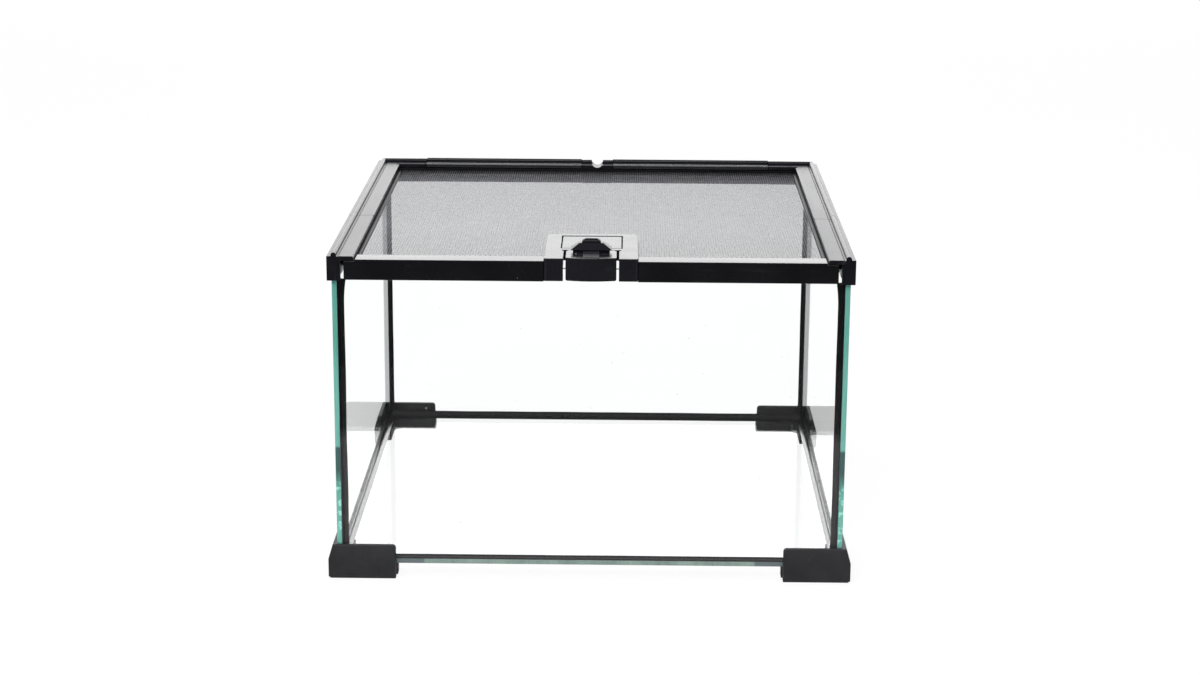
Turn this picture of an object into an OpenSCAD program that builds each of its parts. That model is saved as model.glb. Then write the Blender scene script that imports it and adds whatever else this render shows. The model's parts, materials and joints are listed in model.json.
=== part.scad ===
// Low glass terrarium with a sliding mesh lid and a rocking latch.
// Origin: on the table, under the middle of the tank. +X right, +Y to the back, +Z up.
// Millimetres. The latch is shown let go, so that the lid is free to slide forward.

/* [Glass tank] */
// Outside width of the glass box
tank_w = 300; // [240:10:400]
// Outside depth of the glass box
tank_d = 300; // [240:10:400]
// Height of the walls' top edge above the table
wall_top = 189; // [160:1:300]
// Height of the floor pane's underside above the table
floor_z = 8.3; // [7:0.1:12]
// Thickness of every pane
glass_t = 3; // [2.5:0.1:4]

/* [Silicone seams] */
// Thickness of the silicone between two panes
glue_t = 0.5; // [0.3:0.1:0.8]
// Width of the bead in the upright corners
corner_bead = 3; // [2:0.1:3.5]
// Width of the bead along the front of the floor
front_bead = 3.2; // [2:0.1:4]
// Width of the bead along the back of the floor
back_bead = 5.4; // [3:0.1:6]
// Width of the beads along the sides of the floor
side_bead = 4; // [3:0.1:5]

/* [Corner feet] */
// Length of a foot's leg along the tank, from its outer corner
foot_leg = 40; // [25:1:60]
// Height of a foot
foot_h = 20.5; // [16:0.5:30]
// How far a foot stands out from the glass at its base
foot_out = 5; // [4:0.5:8]
// How far a foot stands out from the glass at its top
foot_out_top = 2.5; // [2:0.5:4]
// Height where a foot's outer face starts to lean in
foot_upright = 12; // [6:1:14]
// Radius of the top corner at a leg's end
foot_round = 2.2; // [1:0.1:4]
// How far a foot reaches in under the floor pane
foot_shelf = 7; // [4:0.5:12]

/* [Top frame] */
// How far the frame stands out from the glass
frame_out = 2.5; // [2:0.1:4]
// Height of the frame, from its lower edge to its flat top
frame_h = 14.5; // [12:0.5:20]
// Height of the flat top above the walls' top edge
frame_over = 6.8; // [6.5:0.1:8]
// Width of the side rails, seen from above
side_rail_w = 15.7; // [13:0.1:20]
// Width of the rear rails, seen from above
rear_rail_w = 13; // [12:0.1:18]
// Thickness of the lip that covers the lid's edge
lip_t = 2.6; // [2:0.1:3]
// Radius of the round bead along the outer edge
bead_r = 1.6; // [1:0.1:3]
// Height of the bead's upright sides above the flat top
bead_lift = 0.6; // [0:0.1:1.5]
// Length of the front pieces of the side rails
front_piece = 116.5; // [60:0.5:160]
// Length of the rear corner pieces along the back
corner_arm = 34; // [20:1:60]
// Width of the cable port piece
port_w = 21.2; // [16:0.2:40]
// Radius of the round floor of the cable notch
notch_r = 3.9; // [3:0.1:6]
// How much higher the rear rails stand than the pieces beside them
rear_rise = 0.5; // [0:0.1:1]

/* [Lid] */
// Depth of the front bar's top, from front to back
bar_d = 13.5; // [10:0.5:20]
// Height of the front bar's face
bar_h = 12.1; // [10:0.1:14]
// Thickness of the front bar's walls
bar_t = 1.8; // [1.2:0.1:2.4]
// Gap between the front bar's ends and the frame
bar_gap = 1.85; // [1:0.05:3]
// Thickness of the mesh sheet
mesh_t = 0.4; // [0.3:0.1:0.8]
// Number of openings across the mesh sheet, each way
mesh_cells = 12; // [4:1:12]
// Width of the bars between the openings
mesh_bar = 2; // [1:0.1:4]
// Gap between the lid's edges and the frame
lid_gap = 0.3; // [0.2:0.05:0.5]

/* [Latch] */
// Width of the latch housing
housing_w = 54.4; // [50:0.2:70]
// Depth of the latch housing behind the bar's face
housing_d = 67; // [62:1:80]
// Width of the front plate and of the tongue behind it
tongue_w = 29.4; // [24:0.2:34]
// Height of the front plate
plate_h = 13.6; // [10:0.1:14]
// Width of the slot on each side of the tongue
slot_w = 1.4; // [1:0.1:2]
// Side of the square press pad, across
pad_w = 35.4; // [30:0.2:38]
// Side of the square press pad, front to back
pad_d = 33; // [26:0.5:36]
// Height of the finger grip above the housing
grip_h = 8; // [6:0.2:12]
// Radius of the latch's pin
pin_r = 0.9; // [0.8:0.05:1.1]

/* [Hidden] */
LEFT = -1;
RIGHT = 1;
FRONT = -1;
REAR = 1;
// Overlap that makes a cut pass clean through a face
over = 1;

// Glass tank
half_w = tank_w / 2;
half_d = tank_d / 2;
floor_top = floor_z + glass_t;
wall_z = floor_top + glue_t;
end_pane_w = tank_w - 2 * glass_t - 2 * glue_t;
inner_x = half_w - glass_t;
inner_y = half_d - glass_t;

// Top frame
out_x = half_w + frame_out;
out_y = half_d + frame_out;
frame_top = wall_top + frame_over;
frame_bottom = frame_top - frame_h;
web_w = frame_out + glass_t + 2.45;
skirt_z = wall_top - 5;
seam_top = skirt_z - 1;
bead_in = bead_r + 2.5;
groove_in = bead_in + bead_r + 0.7;
groove_w = 0.7;
ledge_w = web_w + 6;
ledge_t = 1.6;
ledge_z = wall_top + 0.2;
ledge_front = -half_d + 9.5;
cap_recess = 0.5;
cap_recess_in = 6.1;
joint_y = -out_y + front_piece;
corner_x = out_x - corner_arm;
port_x = port_w / 2;
bead_top = frame_top + bead_lift + bead_r;

// Lid
lid_front = -out_y;
lid_under = wall_top + 0.6;
lid_top = frame_top - lip_t - lid_gap;
bar_top = frame_top - 1.8;
bar_bottom = bar_top - bar_h;
bar_end = out_x - web_w - bar_gap;
bar_shoulder = out_x - side_rail_w - 0.6;
rib_w = 4;
lid_rear = out_y - web_w - 2 * lid_gap;
runner_w = 4.5;
runner_lip_w = 7.9;
rear_lip_w = 5.9;
runner_lip_z = lid_top - 0.8;
mesh_z = wall_top + 2.5;
mesh_grip = 2.2;
mesh_border = mesh_grip + mesh_bar;
mesh_band = 2;

// Latch
housing_top = frame_top;
housing_x = housing_w / 2;
housing_front = lid_front - 1;
housing_back = lid_front + housing_d;
housing_t = 1.8;
housing_wall = 1.9;
housing_round = 4;
boss_bottom = housing_top - 13.4;
boss_t = 2.6;
boss_side_t = 1.2;
tongue_x = tongue_w / 2;
slot_x = tongue_x + slot_w;
pivot_y = lid_front + 25;
pivot_z = housing_top - 3.6;
bridge_front = pivot_y - 2.8;
bridge_back = pivot_y + 2;
tongue_back = bridge_front - 0.5;
flare = 1.4;
flare_y = bridge_front - 3;
base_z = wall_top + 0.5;
base_floor_t = 0.8;
base_front = lid_front + bar_d;
base_open = pivot_y - 3;
base_open_x = slot_x + 1.8;
spigot_in = 2.5;
spigot_t = 1.5;
spigot_x = housing_x - spigot_in;
spigot_back = housing_back - spigot_in;
ear_t = 2;
ear_x = slot_x + 0.2;
ear_half = 2;
hub_r = 1.6;
hub_x = slot_x;
pin_clearance = 0.06;
pin_x = ear_x + ear_t + 1;
plate_top = housing_top + 0.4;
plate_sag = 2.3;
plate_front = lid_front - 2.5;
plate_back = lid_front + 0.3;
plate_lap = 0.3;
plate_r = (pow(tongue_x, 2) + pow(plate_sag, 2)) / (2 * plate_sag);
arm_x = 11.5;
arm_z = pivot_z - 1.2;
arm_t = 2.2;
arm_front = pivot_y - 13.5;
arm_back = pivot_y + 32;
tooth_x = 10;
tooth_y = -inner_y + 0.8;
tooth_t = 2;
tooth_z = wall_top + 0.5;
pad_x = pad_w / 2;
pad_t = 1.5;
pad_gap = 0.35;
pad_front = pivot_y + 3;
pad_back = pad_front + pad_d;
grip_x = 10.7;
grip_y = lid_front + 11.4;
grip_d = 9.9;
grip_step = 2.6;
ramp_lip = 0.4;
ramp_out = 0.2;
ramp_x = grip_x + 1.1;
ridge_x = 7;
ridge_y = grip_y + 4.5;
ridge_d = 5;
ridge_z = housing_top + 5.6;
knob_r = 3;
knob_x = 2.6;
knob_y = ridge_y + 2.6;
knob_side_r = 2.3;
neck_x = 4.7;
neck_h = 2;
neck_bend = 3;
neck_foot = 0.3;

BLACK = [0.09, 0.09, 0.10];
FOOT = [0.22, 0.22, 0.23];
SILICONE = [0.05, 0.05, 0.06];
GLASS = [0.62, 0.85, 0.80, 0.35];
MESH = [0.45, 0.45, 0.47];
STEEL = [0.75, 0.75, 0.77];

// Puts a right-hand shape on the right or mirrors it to the left
module on_side(side) {
  if (side == LEFT) mirror([1, 0, 0]) children();
  else children();
}

// Mirrors a rear shape to the front
module at_end(end) {
  if (end == FRONT) mirror([0, 1, 0]) children();
  else children();
}

// Runs an (x, z) outline along Y
module along_y(y0, y1) {
  translate([0, y1, 0]) rotate([90, 0, 0]) linear_extrude(height = y1 - y0) children();
}

// Runs a (y, z) outline along X
module along_x(x0, x1) {
  translate([x0, 0, 0]) rotate([90, 0, 90]) linear_extrude(height = x1 - x0) children();
}

// A block between two opposite corners
module block(low, high) {
  translate(low) cube(high - low);
}

// A rectangle between two opposite corners
module area(low, high) {
  translate(low) square(high - low);
}

// ---- Glass tank ----

module glass_bottom() {
  color(GLASS) block([-half_w, -half_d, floor_z], [half_w, half_d, floor_top]);
}

module end_pane(end) {
  x = end_pane_w / 2;
  color(GLASS) at_end(end) block([-x, inner_y, wall_z], [x, half_d, wall_top]);
}

module side_pane(side) {
  color(GLASS) on_side(side) block([inner_x, -half_d, wall_z], [half_w, half_d, wall_top]);
}

// Hollow quarter-round bead with its square corner at the origin, towards +x and +y
module cove(leg) {
  difference() {
    square(leg);
    translate([leg, leg]) circle(r = leg * 0.8, $fn = 48);
    translate([leg * 0.2, leg]) square([leg, leg]);
    translate([leg, leg * 0.2]) square([leg, leg]);
  }
}

// Silicone under an end pane, with its bead inside the tank
module end_floor_seam(end, bead) {
  color(SILICONE) at_end(end) along_x(-inner_x, inner_x) {
    translate([inner_y, floor_top]) square([glass_t, glue_t]);
    translate([inner_y, floor_top]) mirror([1, 0]) cove(bead);
  }
}

// Silicone under a side pane, with its bead between the two end beads
module side_floor_seam(side) {
  color(SILICONE) on_side(side) {
    block([inner_x, -half_d, floor_top], [half_w, half_d, wall_z]);
    along_y(-inner_y + front_bead, inner_y - back_bead) {
      translate([inner_x, floor_top]) mirror([1, 0]) cove(side_bead);
    }
  }
}

// Silicone in an upright corner: the bead inside and the film between the panes
module corner_seam(side, end, end_bead) {
  z0 = floor_top + end_bead;
  color(SILICONE) on_side(side) at_end(end) {
    translate([inner_x, inner_y, z0]) rotate(180) {
      linear_extrude(height = seam_top - z0) cove(corner_bead);
    }
    block([inner_x - glue_t, inner_y, wall_z], [inner_x, half_d, wall_top]);
  }
}

// ---- Corner feet ----

// Section of a foot's wall, across the pane: outer face at x = 0, glass at x = foot_out
module foot_wall_section() {
  lean = foot_out - foot_out_top;
  polygon([[0.8, 0], [0, 0.8], [0, foot_upright], [lean, foot_h], [foot_out, foot_h],
           [foot_out, 0]]);
}

// Side view of a leg: leaning outer end at x = 0, rounded top corner at its inner end
module foot_leg_view() {
  lean = foot_out - foot_out_top;
  intersection() {
    polygon([[0.8, 0], [0, 0.8], [0, foot_upright], [lean, foot_h], [foot_leg, foot_h],
             [foot_leg, 0]]);
    union() {
      square([foot_leg - foot_round, foot_h]);
      square([foot_leg, foot_h - foot_round]);
      translate([foot_leg - foot_round, foot_h - foot_round]) circle(r = foot_round, $fn = 32);
    }
  }
}

module foot(side, end) {
  shelf = foot_out + foot_shelf;
  shelf_end = foot_leg + 1;
  shelf_z = 1.2;
  fillet = 6;
  color(FOOT) on_side(side) at_end(end) {
    translate([half_w + foot_out, half_d + foot_out, 0]) rotate(180) {
      // Leg along the end of the tank
      intersection() {
        along_x(0, foot_leg) foot_wall_section();
        along_y(0, foot_out) foot_leg_view();
      }
      // Leg along the side of the tank
      intersection() {
        along_y(0, foot_leg) foot_wall_section();
        along_x(0, foot_out) foot_leg_view();
      }
      // Shelf that the floor pane lies on
      block([foot_out, foot_out, shelf_z], [shelf_end, shelf, floor_z]);
      block([foot_out, foot_out, shelf_z], [shelf, shelf_end, floor_z]);
      translate([shelf, shelf, shelf_z]) linear_extrude(height = floor_z - shelf_z) {
        difference() {
          square(fillet);
          translate([fillet, fillet]) circle(r = fillet, $fn = 48);
        }
      }
    }
  }
}

// ---- Top frame ----

// Cross-section of the frame: x runs inward from the outer face, y is the height
module rail_profile(width, rise, slotted) {
  difference() {
    union() {
      translate([0, frame_bottom]) square([web_w, frame_h + rise]);
      translate([0, frame_top - lip_t]) square([width, lip_t + rise]);
      translate([bead_in - bead_r, frame_top]) square([2 * bead_r, rise + bead_lift]);
      translate([bead_in, frame_top + rise + bead_lift]) circle(r = bead_r, $fn = 48);
      if (slotted) translate([0, ledge_z - ledge_t]) square([ledge_w, ledge_t]);
    }
    if (slotted) {
      translate([frame_out, frame_bottom - over]) square([glass_t, wall_top - frame_bottom + over]);
      translate([frame_out, frame_bottom - over]) square([web_w, skirt_z - frame_bottom + over]);
    }
    translate([groove_in, frame_top + rise]) rotate(45) square(groove_w, center = true);
  }
}

module side_rail(y0, y1) {
  along_y(y0, y1) translate([out_x, 0]) mirror([1, 0]) rail_profile(side_rail_w, 0, true);
}

module rear_rail(x0, x1, rise) {
  along_x(x0, x1) translate([out_y, 0]) mirror([1, 0]) rail_profile(rear_rail_w, rise, true);
}

// Front piece of a side rail, with its closed front end
module frame_side(side) {
  inner = out_x - side_rail_w - over;
  pane_x = out_x - frame_out - glass_t;
  web_x = out_x - web_w;
  color(BLACK) on_side(side) {
    difference() {
      side_rail(-half_d, joint_y);
      // Room for the end of the front pane
      block([inner, -half_d - over, frame_bottom - over], [pane_x, -inner_y + 0.2, wall_top]);
      // The lid's ledge starts behind the front pane
      block([inner, -half_d - over, skirt_z], [web_x, ledge_front, ledge_z + 0.1]);
    }
    difference() {
      along_y(-out_y, -half_d) {
        translate([out_x, 0]) mirror([1, 0]) rail_profile(side_rail_w, 0, false);
      }
      block([web_x - over, -out_y - over, frame_bottom - over],
            [out_x - cap_recess_in, -out_y + cap_recess, frame_top - lip_t]);
    }
  }
}

// L-shaped rear corner piece, mitred along the diagonal
module frame_corner(side) {
  far = bead_top + over;
  reach = out_x - corner_x;
  color(BLACK) on_side(side) {
    intersection() {
      side_rail(joint_y, out_y);
      linear_extrude(height = far) {
        polygon([[out_x + over, out_y + over], [out_x - reach, out_y - reach],
                 [out_x - reach, joint_y - over], [out_x + over, joint_y - over]]);
      }
    }
    intersection() {
      rear_rail(corner_x, out_x, 0);
      linear_extrude(height = far) {
        polygon([[out_x + over, out_y + over], [corner_x, out_y + over],
                 [corner_x, out_y - reach]]);
      }
    }
  }
}

module frame_rear(side) {
  color(BLACK) on_side(side) rear_rail(port_x, corner_x, rear_rise);
}

// Middle piece of the rear frame, with a half-round notch for a lead
module cable_port() {
  color(BLACK) difference() {
    rear_rail(-port_x, port_x, 0);
    along_y(out_y - rear_rail_w - over, out_y + over) {
      translate([0, bead_top]) circle(r = notch_r, $fn = 64);
    }
  }
}

// ---- Lid ----

// Cross-section of the front bar: face, top and the rib that grips the mesh
module bar_profile(top) {
  difference() {
    union() {
      translate([lid_front, bar_bottom]) square([bar_t, top - bar_bottom]);
      translate([lid_front, top - bar_t]) square([bar_d, bar_t]);
      translate([lid_front + bar_d - rib_w, lid_under]) square([rib_w, top - lid_under]);
    }
    translate([lid_front + bar_d - mesh_grip, mesh_z - mesh_t / 2]) square([mesh_grip + over, mesh_t]);
  }
}

// Half of the front bar; its lower end runs under the side rail's lip
module lid_bar(side) {
  color(BLACK) on_side(side) {
    along_x(housing_x, bar_shoulder) bar_profile(bar_top);
    along_x(bar_shoulder, bar_end) bar_profile(lid_top);
  }
}

// Cross-section of a runner: x runs inward from its outer edge, y is the height
module runner_profile(lip_w) {
  difference() {
    union() {
      translate([0, lid_under]) square([runner_w, lid_top - lid_under]);
      translate([0, lid_under + 0.3]) square([lip_w, runner_lip_z - lid_under - 0.3]);
    }
    translate([lip_w - mesh_grip, mesh_z - mesh_t / 2]) square([mesh_grip + over, mesh_t]);
  }
}

module lid_runner(side) {
  color(BLACK) on_side(side) {
    along_y(lid_front + bar_d, lid_rear - rear_lip_w) {
      translate([bar_end, 0]) mirror([1, 0]) runner_profile(runner_lip_w);
    }
  }
}

module lid_runner_rear() {
  color(BLACK) along_x(-bar_end, bar_end) {
    translate([lid_rear, 0]) mirror([1, 0]) runner_profile(rear_lip_w);
  }
}

// Sheet with a plain grid of openings, which stands for the woven wire
module mesh_screen() {
  x = bar_end - runner_lip_w + mesh_grip;
  y0 = lid_front + bar_d - mesh_grip;
  y1 = lid_rear - rear_lip_w + mesh_grip;
  pitch_x = (2 * (x - mesh_border) + mesh_bar) / mesh_cells;
  pitch_y = (y1 - y0 - 2 * mesh_border + mesh_bar) / mesh_cells;
  color(MESH) translate([0, 0, mesh_z - mesh_t / 2]) linear_extrude(height = mesh_t) difference() {
    area([-x, y0], [x, y1]);
    difference() {
      for (i = [0 : mesh_cells - 1], j = [0 : mesh_cells - 1]) {
        translate([-x + mesh_border + i * pitch_x, y0 + mesh_border + j * pitch_y]) {
          square([pitch_x - mesh_bar, pitch_y - mesh_bar]);
        }
      }
      // Solid band round the latch housing
      area([-housing_x - mesh_band, y0], [housing_x + mesh_band, housing_back + mesh_band]);
    }
    // Cut-out under the latch housing
    area([-spigot_x, y0 - over], [spigot_x, spigot_back]);
    area([-housing_x, y0 - over], [housing_x, base_front]);
    // Corners under the side and rear runners' meeting
    area([x - mesh_grip, y1 - mesh_grip], [x + over, y1 + over]);
    area([-x - over, y1 - mesh_grip], [-x + mesh_grip, y1 + over]);
  }
}

// ---- Latch ----

// Outline of the housing seen from above, with rounded rear corners
module housing_outline(inset, front) {
  x = housing_x - inset;
  back = housing_back - inset;
  r = housing_round - inset / 2;
  translate([-x, front]) square([2 * x, back - r - front]);
  translate([-x + r, front]) square([2 * (x - r), back - front]);
  for (side = [LEFT, RIGHT]) translate([side * (x - r), back - r]) circle(r = r, $fn = 48);
}

// Opening for the tongue, with a flare at the end of each slot
module tongue_window() {
  polygon([[-slot_x, housing_front - over], [-slot_x, flare_y], [-slot_x - flare, bridge_front],
           [slot_x + flare, bridge_front], [slot_x, flare_y], [slot_x, housing_front - over]]);
}

module latch_housing() {
  plate_z = housing_top - housing_t;
  rim_z = mesh_z + mesh_t / 2;
  color(BLACK) difference() {
    union() {
      // Top plate
      translate([0, 0, plate_z]) linear_extrude(height = housing_t) housing_outline(0, housing_front);
      // Rim that stands on the mesh
      translate([0, 0, rim_z]) linear_extrude(height = plate_z - rim_z) difference() {
        housing_outline(0, base_front);
        housing_outline(housing_wall, base_front - over);
      }
      for (side = [LEFT, RIGHT]) on_side(side) {
        // Front boss and its two side walls
        block([slot_x, housing_front, boss_bottom], [housing_x, housing_front + boss_t, plate_z]);
        block([housing_x - housing_wall, housing_front, lid_under], [housing_x, base_front, plate_z]);
        block([slot_x, housing_front, lid_under], [slot_x + boss_side_t, base_front - 2, plate_z]);
      }
    }
    translate([0, 0, plate_z - over]) linear_extrude(height = housing_t + 2 * over) {
      tongue_window();
      translate([-pad_x - pad_gap, bridge_back]) {
        square([2 * (pad_x + pad_gap), pad_back + pad_gap - bridge_back]);
      }
    }
  }
}

// Base under the mesh: rim, floor, walls through the mesh and the ears that hold the pin
module latch_base() {
  rim_top = mesh_z - mesh_t / 2;
  wall_top_z = housing_top - housing_t;
  inner = spigot_x - spigot_t;
  back = spigot_back - spigot_t;
  color(BLACK) difference() {
    union() {
      translate([0, 0, base_z]) linear_extrude(height = rim_top - base_z) difference() {
        housing_outline(0, base_front);
        translate([-inner, base_open]) square([2 * inner, back - base_open]);
        translate([-base_open_x, base_front - over]) square([2 * base_open_x, back - base_front]);
      }
      translate([0, 0, base_z]) linear_extrude(height = base_floor_t) {
        translate([-inner, base_open]) square([2 * inner, back - base_open]);
      }
      translate([0, 0, rim_top]) linear_extrude(height = wall_top_z - rim_top) difference() {
        housing_outline(spigot_in, base_front);
        housing_outline(spigot_in + spigot_t, base_front - over);
      }
      for (side = [LEFT, RIGHT]) on_side(side) {
        block([ear_x, pivot_y - ear_half, base_z], [ear_x + ear_t, pivot_y + ear_half, wall_top_z]);
      }
    }
    translate([-pin_x - over, pivot_y, pivot_z]) rotate([0, 90, 0]) {
      cylinder(r = pin_r, h = 2 * (pin_x + over), $fn = 48);
    }
  }
}

module latch_pin() {
  color(STEEL) translate([-pin_x, pivot_y, pivot_z]) rotate([0, 90, 0]) {
    cylinder(r = pin_r, h = 2 * pin_x, $fn = 48);
  }
}

// Front plate, curved forward
module front_plate() {
  intersection() {
    translate([0, plate_front + plate_r, plate_top - plate_h]) cylinder(r = plate_r, h = plate_h, $fn = 180);
    block([-tongue_x, plate_front - over, plate_top - plate_h - over], [tongue_x, plate_back, plate_top]);
  }
}

// Rounded knob on top of the finger grip
module knob() {
  top_z = housing_top + grip_h;
  intersection() {
    along_y(knob_y - knob_side_r, knob_y + knob_side_r) {
      for (side = [LEFT, RIGHT]) translate([side * knob_x, top_z - knob_r]) circle(r = knob_r, $fn = 48);
      area([-knob_x, top_z - 2 * knob_r], [knob_x, top_z]);
    }
    along_x(-knob_x - knob_r, knob_x + knob_r) {
      translate([knob_y, top_z - knob_side_r]) circle(r = knob_side_r, $fn = 48);
    }
  }
}

// Finger grip: a step, a ramp that rises and narrows to the rear, and the knob
module grip() {
  step_z = housing_top + grip_step;
  block([-grip_x, grip_y, housing_top - over], [grip_x, grip_y + grip_d, step_z]);
  hull() {
    block([-ramp_x, grip_y - ramp_out, step_z - ramp_lip], [ramp_x, grip_y + grip_d, step_z]);
    block([-ridge_x, ridge_y, ridge_z - ramp_lip], [ridge_x, ridge_y + ridge_d, ridge_z]);
  }
  knob();
  along_x(-neck_x, neck_x) {
    polygon([[plate_back - plate_lap, housing_top - over], [grip_y, housing_top - over],
             [grip_y, housing_top + neck_h], [grip_y - neck_bend, housing_top + neck_h / 2],
             [plate_back + 1, housing_top + neck_foot], [plate_back - plate_lap, plate_top]]);
  }
}

module latch_rocker() {
  tongue_z = housing_top - housing_t;
  pad_z = housing_top - pad_t;
  color(BLACK) difference() {
    union() {
      front_plate();
      // Tongue, flush with the housing
      translate([0, 0, tongue_z]) linear_extrude(height = housing_t) {
        polygon([[-tongue_x, plate_back - plate_lap], [-tongue_x, flare_y],
                 [-tongue_x + flare, tongue_back], [tongue_x - flare, tongue_back],
                 [tongue_x, flare_y], [tongue_x, plate_back - plate_lap]]);
      }
      grip();
      // Tooth that drops behind the front pane
      block([-tooth_x, tooth_y, tooth_z], [tooth_x, tooth_y + tooth_t, tongue_z + 0.1]);
      // Arm from the tongue, under the bridge, to the pad
      block([-arm_x, arm_front, arm_z], [arm_x, tongue_back, tongue_z + 0.1]);
      block([-arm_x, arm_front, arm_z], [arm_x, bridge_back + 1, arm_z + arm_t]);
      block([-arm_x, bridge_back + 1, arm_z], [arm_x, arm_back, pad_z]);
      // Hub on the pin
      translate([-hub_x, pivot_y, pivot_z]) rotate([0, 90, 0]) cylinder(r = hub_r, h = 2 * hub_x, $fn = 48);
    }
    translate([-hub_x - over, pivot_y, pivot_z]) rotate([0, 90, 0]) {
      cylinder(r = pin_r + pin_clearance, h = 2 * (hub_x + over), $fn = 48);
    }
  }
}

module latch_pad() {
  color(BLACK) block([-pad_x, pad_front, housing_top - pad_t], [pad_x, pad_back, housing_top]);
}

glass_bottom();
end_pane(FRONT);  // glass_front
end_pane(REAR);  // glass_back
side_pane(LEFT);  // glass_left
side_pane(RIGHT);  // glass_right
end_floor_seam(FRONT, front_bead);  // seam_floor_front
end_floor_seam(REAR, back_bead);  // seam_floor_back
side_floor_seam(LEFT);  // seam_floor_left
side_floor_seam(RIGHT);  // seam_floor_right
corner_seam(LEFT, FRONT, side_bead);  // seam_corner_front_left
corner_seam(RIGHT, FRONT, side_bead);  // seam_corner_front_right
corner_seam(LEFT, REAR, back_bead);  // seam_corner_rear_left
corner_seam(RIGHT, REAR, back_bead);  // seam_corner_rear_right
foot(LEFT, FRONT);  // foot_front_left
foot(RIGHT, FRONT);  // foot_front_right
foot(LEFT, REAR);  // foot_rear_left
foot(RIGHT, REAR);  // foot_rear_right
frame_side(LEFT);  // frame_side_left
frame_side(RIGHT);  // frame_side_right
frame_corner(LEFT);  // frame_corner_left
frame_corner(RIGHT);  // frame_corner_right
frame_rear(LEFT);  // frame_rear_left
frame_rear(RIGHT);  // frame_rear_right
cable_port();
lid_bar(LEFT);  // lid_bar_left
lid_bar(RIGHT);  // lid_bar_right
lid_runner(LEFT);  // lid_runner_left
lid_runner(RIGHT);  // lid_runner_right
lid_runner_rear();
mesh_screen();
latch_housing();
latch_base();
latch_pin();
latch_rocker();
latch_pad();
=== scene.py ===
"""Looks of the low glass terrarium with a sliding mesh lid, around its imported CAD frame."""
import json
import math

import bmesh
import bpy
from mathutils import Matrix, Vector, noise

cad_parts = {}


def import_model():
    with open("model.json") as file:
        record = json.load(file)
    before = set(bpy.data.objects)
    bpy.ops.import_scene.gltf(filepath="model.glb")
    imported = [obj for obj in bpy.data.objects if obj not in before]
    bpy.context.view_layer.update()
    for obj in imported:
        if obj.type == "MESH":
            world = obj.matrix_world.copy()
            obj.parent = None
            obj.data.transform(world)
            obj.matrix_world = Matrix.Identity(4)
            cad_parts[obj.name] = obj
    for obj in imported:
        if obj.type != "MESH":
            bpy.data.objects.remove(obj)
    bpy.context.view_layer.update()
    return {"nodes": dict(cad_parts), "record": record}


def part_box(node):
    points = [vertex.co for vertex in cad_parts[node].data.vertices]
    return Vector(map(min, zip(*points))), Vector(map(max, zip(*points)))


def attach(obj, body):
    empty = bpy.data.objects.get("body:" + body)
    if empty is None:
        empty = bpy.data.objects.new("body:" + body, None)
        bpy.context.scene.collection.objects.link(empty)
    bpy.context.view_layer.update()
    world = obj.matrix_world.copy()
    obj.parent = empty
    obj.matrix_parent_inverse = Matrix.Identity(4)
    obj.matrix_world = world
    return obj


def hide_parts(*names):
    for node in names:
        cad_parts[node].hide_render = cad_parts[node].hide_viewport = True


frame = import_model()
MM = 0.001
NODES = frame["nodes"]
RECORD = frame["record"]
BODY_OF = {n: body for body, names in RECORD["behaviour"]["bodies"].items() for n in names}
X, Y, Z = range(3)


# ---- Materials ----

def new_material(name):
    """An empty node material and its output."""
    material = bpy.data.materials.new(name)
    material.use_nodes = True
    tree = material.node_tree
    tree.nodes.clear()
    return material, tree, tree.nodes.new("ShaderNodeOutputMaterial")


def add(tree, kind, inputs=None, **settings):
    """A node of that kind. A socket given as an input is linked, and any other value is set."""
    made = tree.nodes.new(kind)
    for name, value in settings.items():
        setattr(made, name, value)
    for name, value in (inputs or {}).items():
        if isinstance(value, bpy.types.NodeSocket):
            tree.links.new(value, made.inputs[name])
        else:
            made.inputs[name].default_value = value
    return made


def maths(tree, operation, first, second):
    return add(tree, "ShaderNodeMath", {0: first, 1: second}, operation=operation).outputs[0]


def ray_is(tree, *kinds):
    """1 for a ray of any of these kinds."""
    path = add(tree, "ShaderNodeLightPath")
    seen = path.outputs[kinds[0]]
    for kind in kinds[1:]:
        seen = maths(tree, "MAXIMUM", seen, path.outputs[kind])
    return seen


def place(tree, stretch=(1, 1, 1)):
    """Coordinates in the row frame, in metres, stretched along the axes."""
    coordinates = add(tree, "ShaderNodeTexCoord").outputs["Object"]
    return add(tree, "ShaderNodeMapping", {"Vector": coordinates, "Scale": stretch}).outputs[0]


def coordinate(tree, axis):
    """A place's coordinate on one axis of the row frame, in metres."""
    return add(tree, "ShaderNodeSeparateXYZ", {"Vector": place(tree)}).outputs[axis]


def grain(tree, scale, detail=3.0, stretch=(1, 1, 1), rough=0.55):
    """Noise with that many waves per metre."""
    return add(tree, "ShaderNodeTexNoise", {"Vector": place(tree, stretch), "Scale": scale,
                                            "Detail": detail, "Roughness": rough}).outputs["Fac"]


def remap(tree, value, low, high, to_low, to_high):
    return add(tree, "ShaderNodeMapRange", {"Value": value, "From Min": low, "From Max": high,
                                            "To Min": to_low, "To Max": to_high}).outputs[0]


def blend_colour(tree, share, first, second):
    made = tree.nodes.new("ShaderNodeMix")
    made.data_type = "RGBA"
    tree.links.new(share, made.inputs[0])
    for index, value in ((6, first), (7, second)):
        if isinstance(value, bpy.types.NodeSocket):
            tree.links.new(value, made.inputs[index])
        else:
            made.inputs[index].default_value = (*value, 1)
    return made.outputs[2]


def specks(tree, scale, size, share):
    """1 on small round spots, of which only a share is there."""
    cells = add(tree, "ShaderNodeTexVoronoi", {"Vector": place(tree), "Scale": scale})
    spot = remap(tree, cells.outputs["Distance"], size, size * 0.7, 0, 1)
    chance = add(tree, "ShaderNodeSeparateColor", {"Color": cells.outputs["Color"]}).outputs[0]
    return maths(tree, "MULTIPLY", spot, maths(tree, "LESS_THAN", chance, share))


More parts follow.
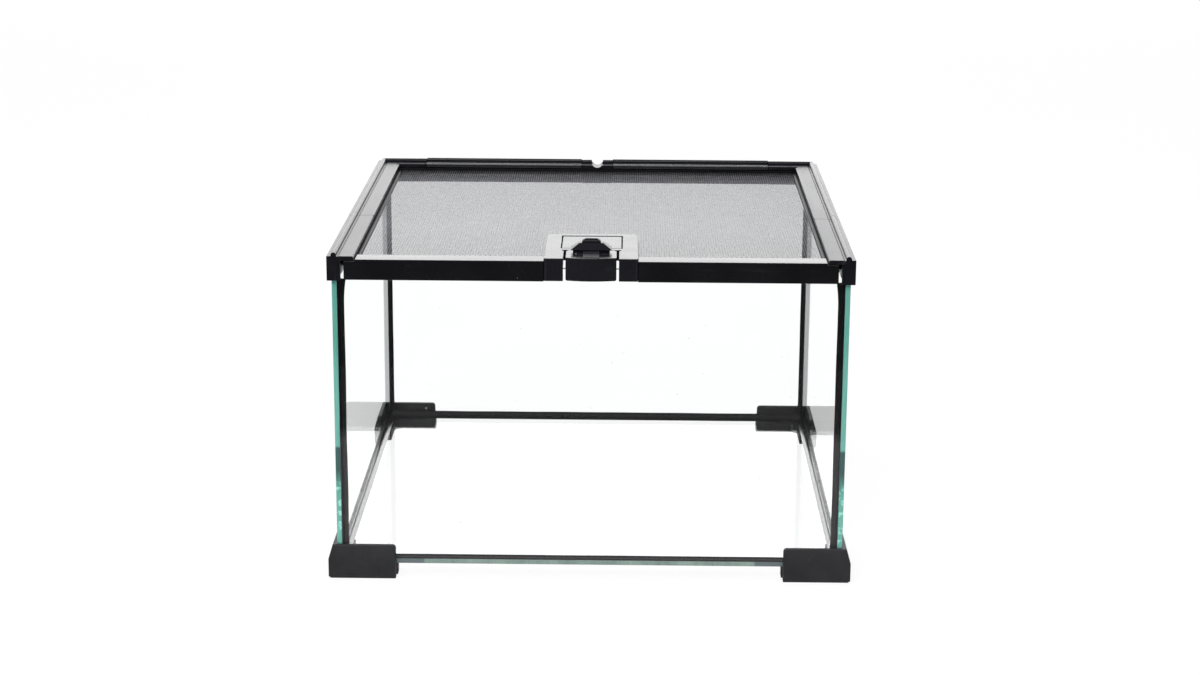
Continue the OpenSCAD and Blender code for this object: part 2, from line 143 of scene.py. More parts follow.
def scratches(tree, scale, share):
    """1 on fine curved lines where a warped wave peaks, in a few places."""
    wave = add(tree, "ShaderNodeTexWave", {"Vector": place(tree, (1, 1, 2.5)), "Scale": scale,
                                           "Distortion": 14.0, "Detail": 3.0, "Detail Scale": 1.4})
    line = remap(tree, wave.outputs["Fac"], 0.985, 1.0, 0, 1)
    return maths(tree, "MULTIPLY", line, remap(tree, grain(tree, 55, 2), 0.5, 0.65, 0, share))


def plastic(name, dark, pale, roughness, texture, depth, specular=0.25, marks=0.03,
            streak=(1, 1, 1), beyond=None, dust=0.035):
    """Black moulded plastic: cloudy colour and gloss, a fine moulded texture, rub marks and specks.

    texture is in waves per metre and depth in metres. beyond holds an axis, a place on it, and the
    specular level beyond that place. dust is the share of the possible specks that are there."""
    material, tree, output = new_material(name)
    if beyond:
        axis, start, level = beyond
        specular = remap(tree, coordinate(tree, axis), start, start + MM, specular, level)
    colour = blend_colour(tree, remap(tree, grain(tree, 45, 4), 0.35, 0.65, 0, 1), dark, pale)
    scuffs = remap(tree, grain(tree, 120, 6, streak, 0.7), 0.62, 0.7, 0, marks)
    colour = blend_colour(tree, scuffs, colour, (0.35, 0.35, 0.36))
    colour = blend_colour(tree, scratches(tree, 60, marks), colour, (0.4, 0.4, 0.4))
    spots = remap(tree, specks(tree, 330, 0.16, dust), 0, 1, 0, 0.35)
    colour = blend_colour(tree, spots, colour, (0.5, 0.5, 0.5))
    gloss = remap(tree, grain(tree, 70, 5, streak), 0.3, 0.7, roughness[0], roughness[1])
    bump = add(tree, "ShaderNodeBump", {"Height": grain(tree, texture, 2, streak), "Strength": 0.6,
                                        "Distance": depth})
    shader = add(tree, "ShaderNodeBsdfPrincipled", {
        "Base Color": colour, "Roughness": gloss, "Specular IOR Level": specular,
        "Normal": bump.outputs[0]})
    tree.links.new(shader.outputs[0], output.inputs["Surface"])
    return material


GLASS_IOR = 1.5


def clear_glass(name, ior, bent=False):
    """A pane's polished faces: see-through, with reflections that grow towards grazing.

    What is seen through a bent one is shifted, as real glass shifts it. Without that shift, the far
    face would mirror things out of place, so there the near face mirrors for both."""
    material, tree, output = new_material(name)
    inside = add(tree, "ShaderNodeNewGeometry").outputs["Backfacing"]
    index = remap(tree, inside, 0, 1, ior, 1 / ior)
    fresnel = add(tree, "ShaderNodeFresnel", {"IOR": index}).outputs[0]
    if not bent:
        fresnel = maths(tree, "MULTIPLY", fresnel, maths(tree, "SUBTRACT", 1, inside))
    through = add(tree, "ShaderNodeBsdfTransparent", {"Color": (0.996, 0.999, 0.998, 1)})
    if bent:
        refracted = add(tree, "ShaderNodeBsdfRefraction",
                        {"Color": (1, 1, 1, 1), "Roughness": 0, "IOR": GLASS_IOR})
        through = add(tree, "ShaderNodeMixShader", {
            0: ray_is(tree, "Is Camera Ray", "Is Transmission Ray"), 1: through.outputs[0],
            2: refracted.outputs[0]})
    smudge = remap(tree, grain(tree, 22, 5), 0.5, 0.75, 0.0, 0.05)
    mirror = add(tree, "ShaderNodeBsdfAnisotropic", {"Color": (1, 1, 1, 1), "Roughness": smudge})
    pane = add(tree, "ShaderNodeMixShader",
               {0: fresnel, 1: through.outputs[0], 2: mirror.outputs[0]})
    dust = add(tree, "ShaderNodeBsdfDiffuse", {"Color": (0.75, 0.76, 0.77, 1)})
    share = remap(tree, specks(tree, 260, 0.12, 0.012), 0, 1, 0, 0.6)
    dusty = add(tree, "ShaderNodeMixShader", {0: share, 1: pane.outputs[0], 2: dust.outputs[0]})
    tree.links.new(dusty.outputs[0], output.inputs["Surface"])
    return material


# Places along and up the cut edges where the painted shade by the feet, the painted dark reflection
# and the painted glints begin and end.
FOOT_END = 98.25 * MM
EDGE_REFLECTION_LOW, EDGE_REFLECTION_HIGH = 52 * MM, 81 * MM
EDGE_GLINTS_TOP = 60 * MM


def glass_edge(name, dark, pale, mark, clear, foot_shade=None, low=None):
    """A pane's cut edge, cloudy, with fine grinding marks. From inside the pane it is mostly clear.

    The colour given for close to the feet is painted shade. low holds its colours in a painted dark
    reflection low on the pane and in painted glints below that."""
    material, tree, output = new_material(name)
    clouds = remap(tree, grain(tree, 60, 4, (1, 1, 0.25)), 0.3, 0.7, 0, 1)
    colour = blend_colour(tree, clouds, dark, pale)
    marks = remap(tree, grain(tree, 900, 3, (1, 1, 0.05)), 0.4, 0.7, 0.0, 0.25)
    colour = blend_colour(tree, marks, colour, mark)
    # Painted shade close to the feet.
    if foot_shade:
        off_middle = maths(tree, "ABSOLUTE", coordinate(tree, "X"), 0)
        near_foot = remap(tree, off_middle, FOOT_END - 0.75 * MM, FOOT_END + 0.75 * MM, 0, 1)
        colour = blend_colour(tree, near_foot, colour, foot_shade)
    # A painted dark reflection low on the pane.
    if low:
        height = coordinate(tree, "Z")
        stretch = maths(tree, "MULTIPLY",
                        remap(tree, height, EDGE_REFLECTION_LOW, EDGE_REFLECTION_LOW + 14 * MM, 0, 0.9),
                        remap(tree, height, EDGE_REFLECTION_HIGH - 1.5 * MM, EDGE_REFLECTION_HIGH, 1, 0))
        colour = blend_colour(tree, stretch, colour, low[0])
        # Painted glints below the painted reflection.
        glints = maths(tree, "MULTIPLY",
                       remap(tree, height, EDGE_GLINTS_TOP - 5 * MM, EDGE_GLINTS_TOP, 0.8, 0),
                       remap(tree, grain(tree, 330, 3), 0.55, 0.62, 0, 1))
        colour = blend_colour(tree, glints, colour, low[1])
    bump = add(tree, "ShaderNodeBump", {"Height": marks, "Strength": 0.3, "Distance": 1e-4})
    shader = add(tree, "ShaderNodeBsdfPrincipled", {
        "Base Color": colour, "Roughness": 0.18, "Specular IOR Level": 0.5,
        "Normal": bump.outputs[0]})
    inside = add(tree, "ShaderNodeNewGeometry").outputs["Backfacing"]
    through = add(tree, "ShaderNodeBsdfTransparent", {"Color": (0.90, 0.92, 0.93, 1)})
    share = maths(tree, "MULTIPLY", inside, clear)
    both = add(tree, "ShaderNodeMixShader", {0: share, 1: shader.outputs[0], 2: through.outputs[0]})
    tree.links.new(both.outputs[0], output.inputs["Surface"])
    return material


# How far up and back the painted grey reflection reaches on the front silicone.
SILICONE_REFLECTION_TOP = 88 * MM
SILICONE_REFLECTION_BACK = -100 * MM


def silicone(name, roughness, specular):
    """Black silicone, with a painted grey reflection low at the front."""
    material, tree, output = new_material(name)
    clouds = remap(tree, grain(tree, 90, 4), 0.3, 0.7, 0, 1)
    colour = blend_colour(tree, clouds, (0.003, 0.003, 0.0035), (0.006, 0.006, 0.007))
    # Painted reflection: grey low at the front.
    low = maths(tree, "MULTIPLY",
                remap(tree, coordinate(tree, "Z"), SILICONE_REFLECTION_TOP - 4 * MM, SILICONE_REFLECTION_TOP + 4 * MM, 0.9, 0),
                remap(tree, coordinate(tree, "Y"), SILICONE_REFLECTION_BACK - 30 * MM, SILICONE_REFLECTION_BACK, 1, 0))
    colour = blend_colour(tree, low, colour, (0.056, 0.053, 0.056))
    gloss = remap(tree, grain(tree, 160, 3), 0.3, 0.7, roughness[0], roughness[1])
    bump = add(tree, "ShaderNodeBump", {"Height": grain(tree, 240, 3), "Strength": 0.4,
                                        "Distance": 1e-5})
    shader = add(tree, "ShaderNodeBsdfPrincipled", {
        "Base Color": colour, "Roughness": gloss, "Specular IOR Level": specular,
        "Normal": bump.outputs[0]})
    tree.links.new(shader.outputs[0], output.inputs["Surface"])
    return material


def metal(name, dark, pale, roughness, streak=(1, 1, 1), painted_shade=()):
    """Bare metal, with painted shade towards some places.

    Each entry of the painted shade is the Y where it starts, the Y where it is darkest, and the
    share of black there."""
    material, tree, output = new_material(name)
    clouds = remap(tree, grain(tree, 300, 3, streak), 0.3, 0.7, 0, 1)
    colour = blend_colour(tree, clouds, dark, pale)
    # Painted shade: the colour blends towards black by place.
    for start, end, darkest in painted_shade:
        share = remap(tree, coordinate(tree, "Y"), start, end, 0, darkest)
        colour = blend_colour(tree, share, colour, (0, 0, 0))
    gloss = remap(tree, grain(tree, 500, 2, streak), 0.3, 0.7, roughness[0], roughness[1])
    shader = add(tree, "ShaderNodeBsdfPrincipled", {
        "Base Color": colour, "Metallic": 1.0, "Roughness": gloss})
    tree.links.new(shader.outputs[0], output.inputs["Surface"])
    return material


def grey(level, blue=1.1):
    return (level, level, level * blue)


ALONG_Y = (1, 0.12, 1)
ALONG_X = (0.12, 1, 1)
BEAD_START = 196.6 * MM
REAR_LIP = 140.5 * MM
MATERIALS = {
    "frame_front": plastic("frame_front", grey(0.005, 1.5), grey(0.008, 1.5), (0.28, 0.32),
                           2400, 8e-6, specular=0.107, streak=ALONG_Y,
                           beyond=("Z", BEAD_START, 0.155)),
    "frame_rear": plastic("frame_rear", grey(0.004, 1.5), grey(0.007, 1.5), (0.25, 0.29),
                          1800, 5e-7, specular=0.55, streak=ALONG_X, beyond=("Y", REAR_LIP, 0.17)),
    "lid": plastic("lid_black", grey(0.001, 1.6), grey(0.003, 1.6), (0.24, 0.28),
                   2000, 5e-6, specular=0.235, streak=ALONG_X, marks=0.015),
    "runner": plastic("runner_black", grey(0.002, 1.5), grey(0.004, 1.5), (0.30, 0.36),
                      1600, 5e-6, specular=0.04, marks=0.015),
    "latch": plastic("latch_black", grey(0.0048, 1.5), grey(0.0062, 1.5), (0.26, 0.29),
                     1600, 4e-6, specular=0.23, marks=0.015),
    "rocker": plastic("rocker_black", grey(0.0048, 1.5), grey(0.0062, 1.5), (0.26, 0.29),
                      1600, 4e-6, specular=0.23, marks=0.015, beyond=("Z", BEAD_START, 0.07)),
    # The rear feet: a darker copy of the foot material, painted shade.
    "shaded_rear_foot": plastic("foot_rear_painted_shade", grey(0.008, 1.12), grey(0.014, 1.12), (0.50, 0.58),
                         1500, 5e-5, specular=0.20, marks=0.02, dust=0.5),
    "foot": plastic("foot_black", grey(0.011, 1.12), grey(0.018, 1.12), (0.50, 0.58),
                    1500, 5e-5, marks=0.02),
    "glass": clear_glass("glass_face", 1.2),
    "side_glass": clear_glass("glass_side_face", 1.145),
    "floor_glass": clear_glass("glass_floor_face", 1.1, bent=True),
    # Low on the pane this edge has a painted dark reflection, with painted glints below it.
    "edge": glass_edge("glass_edge", (0.070, 0.295, 0.24), (0.14, 0.41, 0.345),
                       (0.25, 0.52, 0.46), 0.92, low=((0.012, 0.05, 0.05), (0.32, 0.74, 0.64))),
    "top_edge": glass_edge("glass_top_edge", (0.62, 0.68, 0.66), (0.74, 0.78, 0.77),
                           (0.8, 0.82, 0.82), 0.9),
    # Its colour close to the feet is painted shade.
    "floor_edge": glass_edge("floor_edge", (0.125, 0.18, 0.16), (0.225, 0.31, 0.27),
                             (0.33, 0.42, 0.40), 0.85, foot_shade=(0.10, 0.13, 0.135)),
    "silicone": silicone("silicone_black", (0.40, 0.48), 0.10),
    "wet_silicone": silicone("silicone_glossy", (0.16, 0.22), 0.6),
    # The wires have painted shade towards the rear rail and towards the front.
    "wire": metal("screen_wire", (0.165, 0.165, 0.18), (0.26, 0.26, 0.285), (0.28, 0.40),
                  painted_shade=((98 * MM, 142 * MM, 0.92), (-50 * MM, -120 * MM, 0.29))),
    "pin": metal("pin_steel", (0.55, 0.55, 0.57), (0.72, 0.72, 0.74), (0.18, 0.30),
                 streak=(0.1, 1, 1)),
}


# ---- Pieces ----

def piece(name, mesh, nodes, materials):
    """A mesh object that rides on the body of the CAD nodes that it stands for."""
    made = bpy.data.objects.new(name, mesh)
    bpy.context.scene.collection.objects.link(made)
    for material in materials:
        mesh.materials.append(material)
    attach(made, BODY_OF[nodes[0]])
    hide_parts(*nodes)
    return made


# Corners closer than this are one, and faces closer to one plane than this are one.
WELD = 2e-6
FLAT = math.radians(0.4)


def cad_copy(node):
    """A clean copy of a CAD node's mesh, with its flat faces whole."""
    copy = bmesh.new()
    copy.from_mesh(NODES[node].data)
    for layer in list(copy.loops.layers.float_vector.values()):
        copy.loops.layers.float_vector.remove(layer)
    bmesh.ops.remove_doubles(copy, verts=copy.verts, dist=WELD)
    bmesh.ops.dissolve_limit(copy, angle_limit=FLAT, verts=copy.verts, edges=copy.edges)
    bmesh.ops.recalc_face_normals(copy, faces=copy.faces)
    return copy


def to_mesh(shape, name, smooth=True):
    mesh = bpy.data.meshes.new(name)
    for face in shape.faces:
        face.smooth = smooth
    shape.to_mesh(mesh)
    shape.free()
    return mesh


SHARP = math.radians(32)


def is_sharp(edge):
    return len(edge.link_faces) == 2 and edge.calc_face_angle() > SHARP


def fitted(edge, radius):
    """That rounding radius, or what the edges beside this one leave room for."""
    line = (edge.verts[1].co - edge.verts[0].co).normalized()
    for vert in edge.verts:
        for beside in vert.link_edges:
            far = beside.other_vert(vert)
            way = far.co - vert.co
            if beside == edge or abs(way.normalized().dot(line)) > 0.7:
                continue
            shared = any(is_sharp(other) and abs((other.other_vert(far).co - far.co).normalized()
                                                 .dot(way.normalized())) < 0.7
                         for other in far.link_edges if other != beside)
            room = max(0.4 * way.length, way.length - 0.75 * MM) if shared else 0.9 * way.length
            radius = min(radius, room)
    return radius


def moulded(node, material, radius, segments=3):
    """A moulding: the CAD node's own shape with rounded edges.

    radius is one for all edges, or gives each edge's from its two ends. Both are in millimetres."""
    shape = cad_copy(node)
    weights = shape.edges.layers.float.new("bevel_weight_edge")
    radii = {}
    for edge in shape.edges:
        if is_sharp(edge):
            ends = [vert.co / MM for vert in edge.verts]
            wanted = radius(*ends) if callable(radius) else radius
            radii[edge] = fitted(edge, wanted * MM)
    widest = max(radii.values())
    for edge, size in radii.items():
        edge[weights] = size / widest
    name = node + "_moulding"
    made = piece(name, to_mesh(shape, name), [node], [MATERIALS[material]])
    rounding = made.modifiers.new("rounded", "BEVEL")
    rounding.limit_method = "WEIGHT"
    rounding.width = widest
    rounding.segments = segments
    rounding.use_clamp_overlap = False
    rounding.miter_outer = "MITER_ARC"
    made.modifiers.new("normals", "WEIGHTED_NORMAL").keep_sharp = True
    return made


PANE_GAP = 0.02 * MM
ARRIS = 0.22 * MM


def pane(node, bonded=(), edge="edge", face="glass"):
    """A glass pane with its arrises ground off. Its broad faces are clear and the rest is cut edge.

    bonded holds the edges, as (axis, sign), that stand in black silicone. The top edge is paler."""
    low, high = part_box(node)
    inset = Vector((PANE_GAP,) * 3)
    low, high = low + inset, high - inset
    size = high - low
    shape = bmesh.new()
    middle = Matrix.Translation((low + high) / 2) @ Matrix.Diagonal((*size, 1))
    bmesh.ops.create_cube(shape, size=1, matrix=middle)
    bmesh.ops.bevel(shape, geom=shape.edges[:], offset=ARRIS, segments=1, affect="EDGES",
                    profile=0.5)
    thin = min(range(3), key=lambda axis: size[axis])
    for side in shape.faces:
        sides = {(axis, round(side.normal[axis] / abs(side.normal[axis])))
                 for axis in range(3) if axis != thin and abs(side.normal[axis]) > 0.3}
        side.material_index = (0 if not sides else 2 if sides & set(bonded)
                               else 3 if side.normal[Z] > 0.9 else 1)
    return piece(node + "_pane", to_mesh(shape, node + "_pane", False), [node],
                 [MATERIALS[face], MATERIALS[edge], MATERIALS["silicone"], MATERIALS["top_edge"]])


def sweep(shape, rings):
    """A closed skin over rings of points, added to a bmesh."""
    loops = [[shape.verts.new(point) for point in ring] for ring in rings]
    count = len(rings[0])
    for near, far in zip(loops, loops[1:]):
        for k in range(count):
            after = (k + 1) % count
            shape.faces.new((near[k], near[after], far[after], far[k]))
    shape.faces.new(loops[0])
    shape.faces.new(loops[-1][::-1])


GLUE_GAP = 0.02 * MM


def hollow(leg_a, leg_b, bends=6):
    """Points of a hollow bead's section, from one wall to the other and back to their corner."""
    points = [(GLUE_GAP, GLUE_GAP)]
    for step in range(bends + 1):
        t = step / bends
        pull = 2 * t * (1 - t) * 0.22
        points.append((((1 - t) ** 2 + pull) * leg_a + GLUE_GAP, (t * t + pull) * leg_b + GLUE_GAP))
    return points


RING_STEP = 2.5 * MM
END_SPREAD, SPREAD_RUN = 0.3, 14 * MM


def seam(node, corner, first, second, along, film_run, bead_run, legs, seed, material="silicone"):
    """A hand-laid seam: a film between two panes and a bead in the corner that they make.

    corner is on the line where the two inner faces would meet. first and second point away from it,
    along the faces, and the film lies on the far side of it from second. Both runs are measured
    along the seam from the row frame's origin."""
    shape = bmesh.new()

    def at(a, b, t):
        return corner + a * first + b * second + t * along

    film = (GLUE_GAP, GLUE_T - GLUE_GAP)
    deep = (-GLASS_T + GLUE_GAP, -GLUE_GAP)
    section = [(film[0], deep[0]), (film[1], deep[0]), (film[1], deep[1]), (film[0], deep[1])]
    sweep(shape, [[at(a, b, t) for a, b in section] for t in film_run])
    count = round((bead_run[1] - bead_run[0]) / RING_STEP)
    rings = []
    for step in range(count + 1):
        t = bead_run[0] + (bead_run[1] - bead_run[0]) * step / count
        nearest = min(t - bead_run[0], bead_run[1] - t)
        spread = 1 + END_SPREAD * max(0, 1 - nearest / SPREAD_RUN) ** 2
        wide = [leg * (spread + 0.06 * noise.noise(Vector((t * 28, seed + k, 0)))
                       + 0.006 * noise.noise(Vector((t * 170, seed + k, 5))))
                for k, leg in enumerate(legs)]
        rings.append([at(a, b, t) for a, b in hollow(*wide)])
    sweep(shape, rings)
    bmesh.ops.recalc_face_normals(shape, faces=shape.faces)
    mesh = to_mesh(shape, node + "_silicone")
    mesh.set_sharp_from_angle(angle=math.radians(40))
    return piece(node + "_silicone", mesh, [node], [MATERIALS[material]])


# ---- Glass tank ----

INNER_LOW = Vector((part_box("glass_left")[1][X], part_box("glass_front")[1][Y],
                    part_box("glass_bottom")[1][Z]))
INNER_HIGH = Vector((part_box("glass_right")[0][X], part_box("glass_back")[0][Y], 0))
GLASS_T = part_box("glass_left")[1][X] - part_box("glass_left")[0][X]
GLUE_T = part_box("glass_left")[0][Z] - INNER_LOW[Z]
WALL_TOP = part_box("glass_left")[1][Z]
BEAD_TOP = 181.3 * MM
UP, RIGHTWARD, BACKWARD = Vector((0, 0, 1)), Vector((1, 0, 0)), Vector((0, 1, 0))

END_BONDS = ((X, -1), (X, 1), (Z, -1))
pane("glass_bottom", edge="floor_edge", face="floor_glass")
pane("glass_front", END_BONDS)
pane("glass_back", END_BONDS)
pane("glass_left", ((Z, -1),), face="side_glass")
pane("glass_right", ((Z, -1),), face="side_glass")

CORNER_BEADS = {"front": (3.8 * MM, 3.2 * MM), "rear": (3.2 * MM, 2.6 * MM)}
FLOOR_BEADS = {"front": 1.9 * MM, "back": 4.4 * MM, "left": 3.4 * MM, "right": 3.4 * MM}
seed = 0
for x_word, x, inward in (("left", INNER_LOW[X], RIGHTWARD), ("right", INNER_HIGH[X], -RIGHTWARD)):
    seed += 7
    seam("seam_floor_" + x_word, Vector((x, 0, INNER_LOW[Z])), UP, inward, BACKWARD,
         (INNER_LOW[Y] - GLASS_T, INNER_HIGH[Y] + GLASS_T), (INNER_LOW[Y] + MM, INNER_HIGH[Y] - MM),
         (FLOOR_BEADS[x_word],) * 2, seed, "wet_silicone")
    for y_word, y, deeper in (("front", INNER_LOW[Y], BACKWARD),
                              ("rear", INNER_HIGH[Y], -BACKWARD)):
        seed += 7
        seam("seam_corner_%s_%s" % (y_word, x_word), Vector((x, y, 0)), inward, deeper, UP,
             (INNER_LOW[Z] + GLUE_T, WALL_TOP), (INNER_LOW[Z] + MM, BEAD_TOP),
             CORNER_BEADS[y_word], seed)
for y_word, y, deeper in (("front", INNER_LOW[Y], BACKWARD), ("back", INNER_HIGH[Y], -BACKWARD)):
    seed += 7
    seam("seam_floor_" + y_word, Vector((0, y, INNER_LOW[Z])), UP, deeper, RIGHTWARD,
         (INNER_LOW[X], INNER_HIGH[X]), (INNER_LOW[X] + MM, INNER_HIGH[X] - MM),
         (FLOOR_BEADS[y_word],) * 2, seed)


# ---- Mouldings ----

# Places that tell the edges apart, in millimetres, as the rounding functions below take them.
FRONT_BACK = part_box("latch_housing")[0][Y] / MM + 3
HOUSING_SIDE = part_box("latch_housing")[1][X] / MM - 0.1
HOUSING_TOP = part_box("latch_housing")[1][Z] / MM - 0.1
PAD_LOW, PAD_HIGH = (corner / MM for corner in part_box("latch_pad"))
PLATE_LOW = HOUSING_TOP - 12
FOOT_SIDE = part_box("foot_front_right")[1][X] / MM - 1.5
RAIL_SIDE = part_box("frame_side_right")[0][X] / MM
REAR_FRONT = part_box("frame_rear_right")[0][Y] / MM
# How much narrower on each side, and lower, the pad is shown than its solid.
PAD_INSET, PAD_DROP = 0.15, 0.25


def housing_round(a, b):
    """Full outer ends at the front, softer slot ends, and a worn edge around the pad."""
    outer = min(abs(a[X]), abs(b[X])) > HOUSING_SIDE
    if max(a[Y], b[Y]) < FRONT_BACK and abs(a[Z] - b[Z]) > 5:
        return 1.8 if outer else 0.6
    by_pad = max(abs(a[X]), abs(b[X])) < PAD_HIGH[X] + 1 and min(a[Y], b[Y]) > PAD_LOW[Y] - 1
    if by_pad and min(a[Z], b[Z]) > HOUSING_TOP:
        return 0.6
    return 0.4


def rocker_round(a, b):
    """Rounder corners on the front plate than on the grip behind it."""
    if max(a[Y], b[Y]) < FRONT_BACK:
        low = max(a[Z], b[Z]) < PLATE_LOW
        return 1.3 if low and abs(a[Y] - b[Y]) > 0.2 and abs(a[X] - b[X]) < 0.1 else 0.4
    return 0.2


def foot_round(a, b):
    """A full rounding along the outer foot of the outer side."""
    outer = min(abs(a[X]), abs(b[X])) > FOOT_SIDE
    return 1.8 if outer and max(a[Z], b[Z]) < 1 else 0.7


def side_rail_round(a, b):
    """A soft inner edge on the flat top."""
    inner = max(abs(a[X]), abs(b[X])) < RAIL_SIDE + 0.1 and min(a[Z], b[Z]) > HOUSING_TOP - 0.1
    return 1.0 if inner and abs(a[Y] - b[Y]) > 5 else 0.35


def rear_rail_round(a, b):
    """A full rounding along the flat top's inner edge."""
    inner = max(a[Y], b[Y]) < REAR_FRONT + 1 and min(a[Z], b[Z]) > HOUSING_TOP - 0.1
    return 0.9 if inner and abs(a[X] - b[X]) > 5 else 0.7


for node in NODES:
    if node.startswith("foot_"):
        # The rear feet take the darker copy with painted shade.
        moulded(node, "shaded_rear_foot" if "rear" in node else "foot", foot_round)
    elif node.startswith("frame_rear"):
        moulded(node, "frame_rear", rear_rail_round)
    elif node.startswith("frame_"):
        moulded(node, "frame_front", side_rail_round if "side" in node else 0.35, 2)
    elif node == "cable_port":
        moulded(node, "frame_front", 0.1, 2)
    elif node.startswith("lid_runner"):
        moulded(node, "runner", 0.3, 2)
    elif node.startswith("lid_"):
        moulded(node, "lid", 0.3, 2)
    elif node == "latch_housing":
        moulded(node, "latch", housing_round)
    elif node == "latch_rocker":
        moulded(node, "rocker", rocker_round)
    elif node == "latch_pad":
        pad = moulded(node, "latch", 0.5)
        for vert in pad.data.vertices:
            vert.co.x *= 1 - PAD_INSET / PAD_HIGH[X]
            if vert.co.z > (PAD_HIGH[Z] - 0.1) * MM:
                vert.co.z -= PAD_DROP * MM
    elif node == "latch_base":
        moulded(node, "latch", 0.25, 2)
    elif node == "latch_pin":
        moulded(node, "pin", 0.15, 2)


# ---- Woven screen ----

WIRE_R = 0.1 * MM
PITCH = 1.5 * MM
SCREEN_LOW, SCREEN_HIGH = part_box("mesh_screen")
BASE_LOW, BASE_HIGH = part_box("latch_base")
HOLE_EDGE = 2.3 * MM
SCREEN_MARGIN = 0.6 * PITCH
HOLE_X = BASE_HIGH[X] - HOLE_EDGE
HOLE_BACK = BASE_HIGH[Y] - HOLE_EDGE
BAR_BACK = BASE_LOW[Y] + 0.15 * MM
TUBE_SIDES = [(math.cos(t), math.sin(t)) for t in (math.pi / 2, math.pi * 7 / 6, math.pi * 11 / 6)]


def under_latch(x, y):
    """Whether the screen is cut away at that place."""
    return (abs(x) < HOLE_X and y < HOLE_BACK) or (abs(x) < BASE_HIGH[X] and y < BAR_BACK)


def woven(name, axis, half):
    """Half of the wires that run along one axis, passing over and under the others."""
    across = 1 - axis
    counts = [int((SCREEN_HIGH[a] - SCREEN_LOW[a] - 2 * SCREEN_MARGIN) / PITCH) + 1 for a in (X, Y)]
    starts = [(SCREEN_LOW[a] + SCREEN_HIGH[a] - (counts[a] - 1) * PITCH) / 2 for a in (X, Y)]
    z = (SCREEN_LOW[Z] + SCREEN_HIGH[Z]) / 2
    verts, faces = [], []
    lines = range(counts[across])
    middle = counts[across] // 2
    for line in (lines[:middle] if half == 0 else lines[middle:]):
        side = starts[across] + line * PITCH
        stations = []
        for step in range(counts[axis]):
            at = starts[axis] + step * PITCH
            x, y = (at, side) if axis == X else (side, at)
            if under_latch(x, y):
                tube(verts, faces, stations, axis)
                stations = []
                continue
            up = 1 if (line + step + axis) % 2 else -1
            stations.append((x, y, z + up * WIRE_R))
        tube(verts, faces, stations, axis)
    mesh = bpy.data.meshes.new(name)
    mesh.from_pydata(verts, [], faces)
    mesh.update()
    mesh.shade_smooth()
    return piece(name, mesh, ["mesh_screen"], [MATERIALS["wire"]])


def tube(verts, faces, stations, axis):
    """A wire through these points, three-sided, with shared corners for smooth shading."""
    if len(stations) < 2:
        return
    first = len(verts)
    for x, y, z in stations:
        for c, s in TUBE_SIDES:
            verts.append((x, y + WIRE_R * c, z + WIRE_R * s) if axis == X
                         else (x + WIRE_R * c, y, z + WIRE_R * s))
    sides = len(TUBE_SIDES)
    for ring in range(len(stations) - 1):
        for k in range(sides):
            a = first + ring * sides + k
            b = first + ring * sides + (k + 1) % sides
            quad = (a, b, b + sides, a + sides)
            faces.append(quad if axis == Y else quad[::-1])
    last = first + (len(stations) - 1) * sides
    faces.append(tuple(range(first, first + sides)))
    faces.append(tuple(reversed(range(last, last + sides))))


for half, word in enumerate(("first", "second")):
    woven("screen_wires_x_" + word, X, half)
    woven("screen_wires_y_" + word, Y, half)


# ---- Studio ----

CAMERA_PLACE = (0.018573, -1.507806, 0.502393)
CAMERA_ANGLES = (-0.5539, 14.6170, 0.37173)
CAMERA_LENS = 72.494
FLOOR_FRONT, FLOOR_BACK, FLOOR_SIDE = -0.62, 5, 4
FLOOR_WHITE = 0.88
ROOM = 0.22
CEILING = 0.55


def camera():
    """The camera that was fitted to the photo's straight edges. Its angles are yaw, pitch, roll."""
    yaw, pitch, roll = (math.radians(angle) for angle in CAMERA_ANGLES)
    forward = Vector((math.sin(yaw) * math.cos(pitch), math.cos(yaw) * math.cos(pitch),
                      -math.sin(pitch)))
    right = Vector((math.cos(yaw), -math.sin(yaw), 0))
    up = right.cross(forward)
    turned = math.cos(roll) * right + math.sin(roll) * up
    upright = -math.sin(roll) * right + math.cos(roll) * up
    data = bpy.data.cameras.new("camera")
    data.sensor_width = 36
    data.lens = CAMERA_LENS
    data.clip_end = 100
    made = bpy.data.objects.new("camera", data)
    bpy.context.scene.collection.objects.link(made)
    turn = Matrix((turned, upright, -forward)).transposed().to_4x4()
    made.matrix_world = Matrix.Translation(CAMERA_PLACE) @ turn
    bpy.context.scene.camera = made


def lamp(name, place_at, aim, size, radiance, mirrored=True):
    """A soft rectangular lamp. Its power gives that radiance over its face."""
    data = bpy.data.lights.new(name, "AREA")
    data.shape = "RECTANGLE"
    data.size, data.size_y = size
    data.energy = 4 * radiance * size[0] * size[1]
    made = bpy.data.objects.new(name, data)
    bpy.context.scene.collection.objects.link(made)
    made.location = place_at
    made.rotation_euler = (Vector(aim) - Vector(place_at)).to_track_quat("-Z", "Y").to_euler()
    made.visible_camera = False
    made.visible_transmission = False
    made.visible_glossy = mirrored
    return made


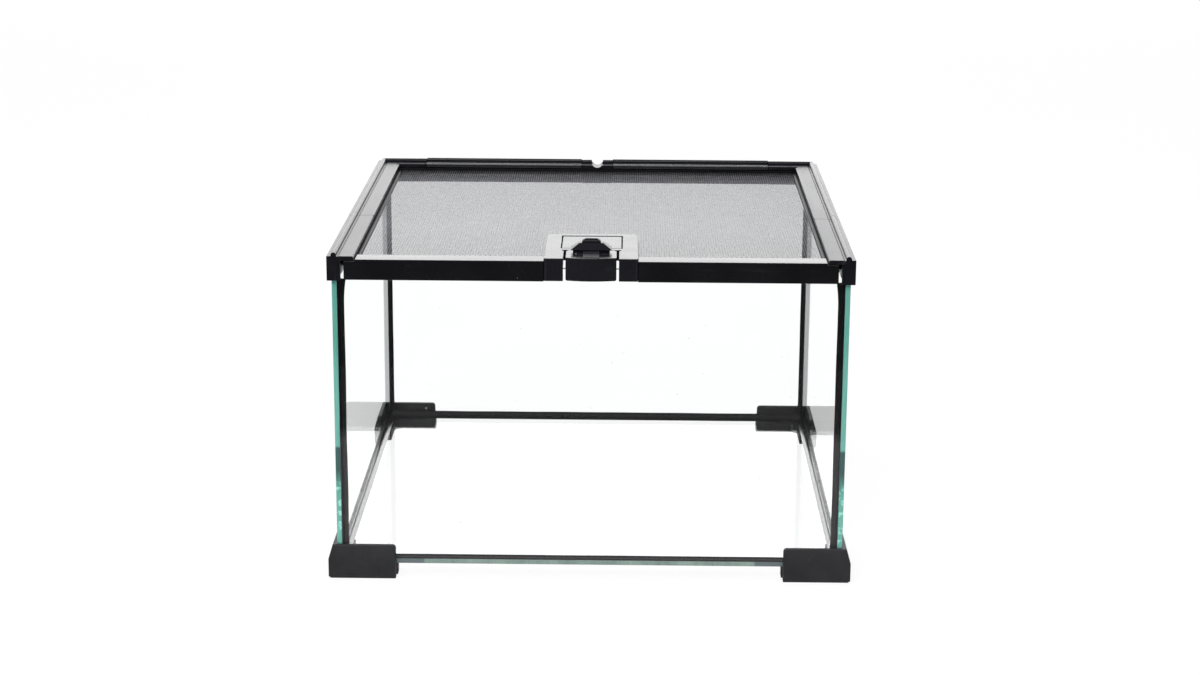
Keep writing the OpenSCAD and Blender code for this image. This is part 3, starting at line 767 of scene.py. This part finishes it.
def floor():
    """A pale floor that shows white, with a faint shadow of what stands on it."""
    shape = bmesh.new()
    corners = ((-FLOOR_SIDE, FLOOR_FRONT), (FLOOR_SIDE, FLOOR_FRONT), (FLOOR_SIDE, FLOOR_BACK),
               (-FLOOR_SIDE, FLOOR_BACK))
    shape.faces.new([shape.verts.new((x, y, 0)) for x, y in corners])
    made = bpy.data.objects.new("floor", to_mesh(shape, "floor", False))
    bpy.context.scene.collection.objects.link(made)
    material, tree, output = new_material("floor_white")
    clouds = remap(tree, grain(tree, 3, 3), 0.3, 0.7, 0, 1)
    colour = blend_colour(tree, clouds, (0.80, 0.80, 0.80), (0.82, 0.82, 0.82))
    matt = add(tree, "ShaderNodeBsdfDiffuse", {"Color": colour})
    white = add(tree, "ShaderNodeEmission", {"Color": (1, 1, 1, 1), "Strength": 1.0})
    seen = ray_is(tree, "Is Camera Ray", "Is Transmission Ray", "Is Glossy Ray")
    surface = add(tree, "ShaderNodeMixShader", {0: maths(tree, "MULTIPLY", seen, FLOOR_WHITE),
                                                1: matt.outputs[0], 2: white.outputs[0]})
    tree.links.new(surface.outputs[0], output.inputs["Surface"])
    made.data.materials.append(material)


def world():
    """A dim even room with a white backdrop behind the object, and a ceiling that mirrors show."""
    made = bpy.data.worlds.new("studio")
    bpy.context.scene.world = made
    made.use_nodes = True
    tree = made.node_tree
    tree.nodes.clear()
    heading = add(tree, "ShaderNodeTexCoord").outputs["Generated"]
    heading = add(tree, "ShaderNodeSeparateXYZ", {"Vector": heading})
    ceiling = remap(tree, heading.outputs["Z"], 0.45, 0.7, 0, CEILING)
    level = maths(tree, "ADD", ROOM,
                  maths(tree, "MULTIPLY", ceiling, ray_is(tree, "Is Glossy Ray")))
    room = add(tree, "ShaderNodeBackground", {"Color": (1, 1, 1, 1), "Strength": level})
    white = add(tree, "ShaderNodeBackground", {"Color": (1, 1, 1, 1), "Strength": 1.0})
    behind = remap(tree, heading.outputs["Y"], 0.05, 0.3, 0, 1)
    low = remap(tree, heading.outputs["Z"], 0.5, 0.3, 0, 1)
    backdrop = maths(tree, "MULTIPLY", maths(tree, "MULTIPLY", behind, low),
                     ray_is(tree, "Is Glossy Ray"))
    seen = maths(tree, "MAXIMUM", ray_is(tree, "Is Camera Ray", "Is Transmission Ray"), backdrop)
    both = add(tree, "ShaderNodeMixShader", {0: seen, 1: room.outputs[0], 2: white.outputs[0]})
    output = add(tree, "ShaderNodeOutputWorld")
    tree.links.new(both.outputs[0], output.inputs["Surface"])


camera()
floor()
world()
lamp("lamp_front", (-0.5, -2.0, 2.4), (0, 0, 0.1), (2.0, 1.6), 6.6)
lamp("lamp_top", (0, 0.2, 2.4), (0, 0.1, 0), (2.2, 2.2), 1.9, mirrored=False)
lamp("lamp_rear", (0, 3.7, 1.6), (0, 0, 0.6), (5.0, 2.5), 2.0)
bpy.context.scene.view_settings.view_transform = "Standard"
